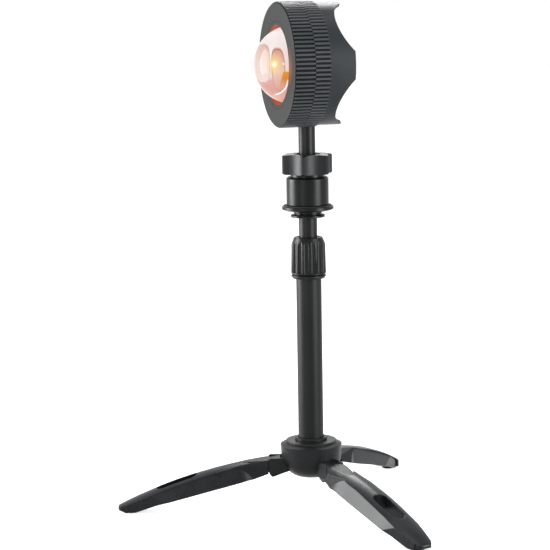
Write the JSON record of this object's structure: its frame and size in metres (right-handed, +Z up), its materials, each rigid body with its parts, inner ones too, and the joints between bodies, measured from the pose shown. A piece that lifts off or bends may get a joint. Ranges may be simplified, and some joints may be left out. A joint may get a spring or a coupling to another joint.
{
  "type": "sunset projection lamp",
  "caption": "Small black sunset projection lamp: a ribbed round head with a domed glass lens over an orange filter, on a ball head, telescopic pole and folding tripod",
  "frame": {"origin": "on the table, under the pole's axis", "axes": "+Z up along the pole; the lens looks along -Y, so the lamp's back with its button and inlet faces +Y"},
  "size_m": [0.2173, 0.2178, 0.3329],
  "materials": {
    "black_shell": "satin black moulded plastic",
    "black_metal": "satin black anodised or painted metal",
    "face_grey": "flat matte dark grey",
    "rubber_black": "matte",
    "steel": "plain",
    "brass_insert": "machined",
    "pale_plastic": "natural, unpainted",
    "dark_plastic": "matte",
    "lens_glass": "clear polished glass over an orange film",
    "film": "thin orange to red filter film",
    "sink_metal": "plain",
    "board_white": "white solder mask",
    "board_green": "green solder mask",
    "emitter": "yellow light source"
  },
  "bodies": {
    "stand": {"hub_body": "black_shell", "hub_plate": "black_metal", "tube_collar": "black_metal", "main_tube": "black_metal", "tube_plug": "pale_plastic", "hub_screw": "steel", "leg_pins": "black_metal", "collet_sleeve": "pale_plastic"},
    "leg_front_body": {"leg_front": "black_shell", "foot_pad_front": "rubber_black"},
    "leg_right_body": {"leg_right": "black_shell", "foot_pad_right": "rubber_black"},
    "leg_left_body": {"leg_left": "black_shell", "foot_pad_left": "rubber_black"},
    "lock": {"lock_nut": "black_metal"},
    "pole": {"pole_rod": "black_metal", "rod_guide": "pale_plastic", "rod_seat": "black_metal", "platform_disc": "black_metal", "platform_pad": "rubber_black", "mount_stud": "steel"},
    "socket": {"socket_body": "black_metal", "stud_insert": "brass_insert", "ball_seat": "pale_plastic"},
    "clamp": {"clamp_nut": "black_metal", "clamp_ring": "pale_plastic"},
    "head": {"ball_stem": "black_metal", "stem_screw": "steel", "rear_housing": "black_shell", "heat_sink": "sink_metal", "led_board": "board_white", "led_chip": "emitter", "light_cup": "pale_plastic", "control_board": "board_green", "power_switch": "dark_plastic", "power_inlet": "steel", "inner_screws": "steel", "back_plate": "black_shell", "back_screws": "steel"},
    "front": {"front_bezel": "black_shell", "lens_ring": "face_grey", "lens_dome": "lens_glass", "colour_film": "film", "lens_gasket": "rubber_black", "lens_retainer": "dark_plastic"},
    "button": {"power_button": "black_shell"}
  },
  "joints": [
    {"name": "leg_front_fold", "type": "hinge", "parent": "stand", "child": "leg_front_body", "pos_m": [-0.00644, -0.02354, 0.027], "axis": [0.9646, -0.2639, 0], "range_deg": [0, 80]},
    {"name": "leg_right_fold", "type": "hinge", "parent": "stand", "child": "leg_right_body", "pos_m": [0.0236, 0.00619, 0.027], "axis": [-0.2538, 0.9673, 0], "range_deg": [0, 80]},
    {"name": "leg_left_fold", "type": "hinge", "parent": "stand", "child": "leg_left_body", "pos_m": [-0.01716, 0.01734, 0.027], "axis": [-0.7108, -0.7034, 0], "range_deg": [0, 80]},
    {"name": "pole_lock_turn", "type": "hinge", "parent": "stand", "child": "lock", "pos_m": [0, 0, 0.165], "axis": [0, 0, 1], "range_deg": [0, 90]},
    {"name": "pole_slide", "type": "slide", "parent": "stand", "child": "pole", "axis": [0, 0, 1], "range_m": [-0.013, 0.085]},
    {"name": "head_pan", "type": "hinge", "parent": "pole", "child": "socket", "pos_m": [0, 0, 0.21], "axis": [0, 0, 1], "continuous": true},
    {"name": "clamp_turn", "type": "hinge", "parent": "socket", "child": "clamp", "pos_m": [0, 0, 0.2285], "axis": [0, 0, 1], "range_deg": [0, 60]},
    {"name": "head_tilt", "type": "hinge", "parent": "socket", "child": "head", "pos_m": [0, 0, 0.22715], "axis": [1, 0, 0], "range_deg": [-20, 20]},
    {"name": "bezel_twist", "type": "hinge", "parent": "head", "child": "front", "pos_m": [0, -0.0195, 0.2927], "axis": [0, 1, 0], "range_deg": [0, 45]},
    {"name": "button_press", "type": "slide", "parent": "head", "child": "button", "axis": [0, -1, 0], "range_m": [0, 0.0008], "stiffness_N_per_m": 600}
  ]
}
